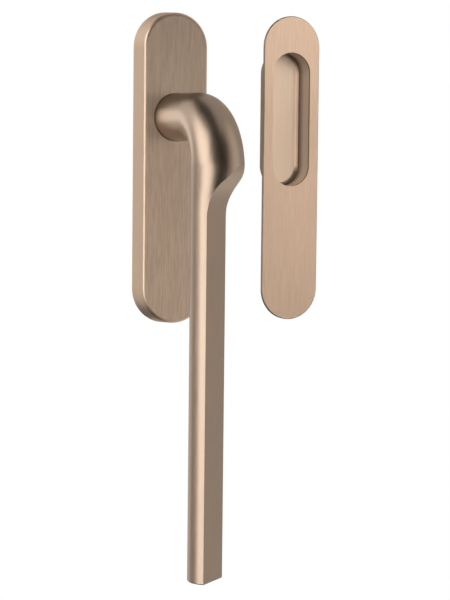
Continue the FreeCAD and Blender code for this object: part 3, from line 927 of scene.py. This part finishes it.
def screen(name, azimuths, heights, material):
    """An upright curved screen round the object, between two azimuths and two heights."""
    first, last = azimuths
    low, high = heights
    deselect_all()
    bpy.ops.mesh.primitive_cylinder_add(
        vertices=SCREEN_STRIPS, radius=SCREEN_DISTANCE, depth=high - low,
        end_fill_type="NOTHING", location=(0, 0, (low + high) / 2))
    sheet = bpy.context.active_object

    def outside(middle, normal):
        azimuth = math.degrees(math.atan2(middle.x, -middle.y))
        return not (first < azimuth < last or first < azimuth + 360 < last)

    select_faces(sheet, outside)
    bpy.ops.mesh.delete(type="FACE")
    bpy.ops.object.mode_set(mode="OBJECT")
    mirrored_only(sheet, name, material)


def lid(name, centre, width, depth, material):
    """A level card above or under the object."""
    deselect_all()
    bpy.ops.mesh.primitive_plane_add(size=1.0, location=centre)
    sheet = bpy.context.active_object
    sheet.scale = (width, depth, 1.0)
    mirrored_only(sheet, name, material)


def lay_floor(level):
    """The pale floor under the object."""
    deselect_all()
    bpy.ops.mesh.primitive_plane_add(size=FLOOR_SIZE, location=(0, 0, level))
    floor = bpy.context.active_object
    floor.name = "floor"
    give(floor, pale_surface("pale_floor", FLOOR_COLOUR))


def set_lamps(sizes, middle):
    """Two panels for everything, and four that light some pieces only."""
    for name, place, power in (
            ("panel_side", compass(-64, 1.3, 0.0), sizes.side_power),
            ("panel_top", Vector((0.1, -0.5, 1.5)), sizes.top_power)):
        lamp = panel(name, place, middle, PANEL_SIZE, PANEL_SIZE, power)
        lamp.visible_glossy = False
    plate = ("cover_plate",)
    pull = ("flush_face_plate", "recess_cup")
    plate_share = sizes.plate_power / 2
    for name, azimuth, height, width, power, pieces, own_shadows in (
            ("plate_only", 16, -0.35, 2.1, plate_share, plate, False),
            ("plate_even", 16, -0.35, 2.1, plate_share, plate, True),
            ("pull_only", 4, 0.38, PANEL_SIZE, sizes.pull_power, pull, False)):
        place = compass(azimuth, LINKED_PANEL_DISTANCE, height)
        lamp = panel(name, place, middle, width, PANEL_SIZE, power)
        link_light(lamp, pieces, own_shadows)
    way = Vector((*NECK_PANEL_WAY, sizes.neck_rise)).normalized()
    lamp = panel("neck_only", NECK_SPOT + NECK_PANEL_DISTANCE * way, NECK_SPOT,
                 *NECK_PANEL_SIZE, sizes.neck_power)
    lamp.data.spread = NECK_PANEL_BEAM
    lamp.data.color = NECK_WHITE
    link_light(lamp, ("lever_handle",), True)


def set_screens(sizes, floor_level):
    """What the metal mirrors: bright on the left, black in front, dim on the right."""
    lean_from, lean_to = LEAN_HEIGHTS
    lower = (floor_level, lean_from)
    upper = (lean_to, CEILING)
    whole = (floor_level, CEILING)
    black = dark_surface("black_card")
    key = glow_surface("key_card", sizes.key_level, COOL_WHITE)
    back = glow_surface("back_card", sizes.back_level, WARM_WHITE)
    near = glow_surface("near_card", sizes.near_level)
    right = glow_surface("right_card", sizes.right_level, WARM_WHITE)
    high = glow_surface("high_card", sizes.high_level)
    screen("key_low", KEY_LOW, lower, key)
    screen("back_low", (BACK_EDGE, KEY_LOW[0]), lower, back)
    screen("front_low", (KEY_LOW[1], BLACK_EDGE), lower, black)
    rise = (lean_to - lean_from) / LEAN_STEPS
    for step in range(LEAN_STEPS):
        share = (step + 0.5) / LEAN_STEPS
        heights = (lean_from + rise * step, lean_from + rise * (step + 1))
        first, last = (round(under + (over - under) * share)
                       for under, over in zip(KEY_LOW, KEY_HIGH))
        screen(f"key_step_{step}", (first, last), heights, key)
        screen(f"back_step_{step}", (BACK_EDGE, first), heights, back)
        screen(f"front_step_{step}", (last, BLACK_EDGE), heights, black)
    screen("key_high", KEY_HIGH, (lean_to, KEY_TOP), key)
    screen("key_over", KEY_HIGH, (KEY_TOP, CEILING), near)
    screen("back_high", (BACK_EDGE, KEY_HIGH[0]), upper, near)
    screen("back_far", (-180, BACK_EDGE), whole, near)
    screen("front_high", (KEY_HIGH[1], BLACK_EDGE), upper, black)
    screen("near_edge", (BLACK_EDGE, DIM_EDGE), whole, right)
    screen("near", (DIM_EDGE, NEAR_EDGE), whole, near)
    screen("right", (NEAR_EDGE, 180), whole, right)
    width = 2 * SCREEN_DISTANCE
    ground = floor_level + GROUND_RISE
    for name, x, height, card in (
            ("roof_left", -width / 4, CEILING, black),
            ("roof_right", width / 4, CEILING, high),
            ("ground_left", GROUND_SPLIT - width / 4, ground, black),
            ("ground_right", GROUND_SPLIT + width / 4, ground, near)):
        lid(name, (x, 0, height), width / 2, width, card)


def set_surroundings(scene, fill_level):
    """Plain white to the camera and in reflections, and a soft fill light otherwise."""
    world = bpy.data.worlds.new("surroundings")
    scene.world = world
    world.use_nodes = True
    tree = world.node_tree
    background = tree.nodes["Background"]
    background.inputs["Color"].default_value = (1.0, 1.0, 1.0, 1.0)
    level = tree.nodes.new("ShaderNodeMath")
    level.operation = "MAXIMUM"
    level.inputs[1].default_value = fill_level
    tree.links.new(seen_or_mirrored(tree), level.inputs[0])
    tree.links.new(level.outputs["Value"], background.inputs["Strength"])


def set_camera(scene, sizes):
    """The photograph's view."""
    data = bpy.data.cameras.new("camera")
    data.lens = sizes.camera_lens
    data.sensor_width = SENSOR_WIDTH
    data.clip_start, data.clip_end = CAMERA_RANGE
    camera = bpy.data.objects.new("camera", data)
    scene.collection.objects.link(camera)
    camera.location = sizes.camera_place
    level_view = Euler((math.radians(90) - sizes.camera_pitch, 0.0, -sizes.camera_yaw))
    lean = Matrix.Rotation(sizes.camera_roll, 3, "Z")
    camera.rotation_euler = (level_view.to_matrix() @ lean).to_euler()
    scene.camera = camera
    scene.view_settings.view_transform = "Standard"


class DoorHandleStage(bpy.types.Operator):
    """Set up the pale floor, the soft light and the camera"""

    bl_idname = "door_handle.stage"
    bl_label = "Stage"

    def execute(self, context):
        sizes = context.scene.door_handle_stage
        low, high = CAD_BOX
        floor_level = low.z - sizes.floor_drop
        lay_floor(floor_level)
        set_lamps(sizes, (low + high) / 2)
        set_screens(sizes, floor_level)
        set_surroundings(context.scene, sizes.fill_level)
        set_camera(context.scene, sizes)
        return {"FINISHED"}


# The add-on's panel and its list of classes


class DoorHandlePanel(bpy.types.Panel):
    """Lists the handle's pieces and settings"""

    bl_idname = "VIEW3D_PT_door_handle"
    bl_label = "Door Handle"
    bl_space_type = "VIEW_3D"
    bl_region_type = "UI"
    bl_category = "Door Handle"

    def draw(self, context):
        layout = self.layout
        for piece in PIECES:
            layout.operator(piece.bl_idname)
        for settings in SETTINGS:
            box = layout.box()
            group = getattr(context.scene, settings)
            for name in group.bl_rna.properties.keys():
                if name not in ("name", "rna_type"):
                    box.prop(group, name)


SETTINGS = {
    "door_handle_finish": FinishSettings,
    "door_handle_screws": ScrewSettings,
    "door_handle_stage": StageSettings,
}
PIECES = (
    DoorHandleCoverPlate,
    DoorHandleLever,
    DoorHandleFlushPull,
    DoorHandleFittings,
    DoorHandleFixingScrews,
    DoorHandleSocketThreads,
    DoorHandleStage,
)


def register():
    for settings, group in SETTINGS.items():
        bpy.utils.register_class(group)
        setattr(bpy.types.Scene, settings, PointerProperty(type=group))
    for piece in (*PIECES, DoorHandlePanel):
        bpy.utils.register_class(piece)


def unregister():
    for piece in reversed((*PIECES, DoorHandlePanel)):
        bpy.utils.unregister_class(piece)
    for settings, group in SETTINGS.items():
        delattr(bpy.types.Scene, settings)
        bpy.utils.unregister_class(group)


def main():
    register()
    bpy.ops.door_handle.cover_plate()
    bpy.ops.door_handle.lever()
    bpy.ops.door_handle.flush_pull()
    bpy.ops.door_handle.fittings()
    bpy.ops.door_handle.fixing_screws()
    bpy.ops.door_handle.socket_threads()
    bpy.ops.door_handle.stage()


if __name__ == "__main__":
    main()
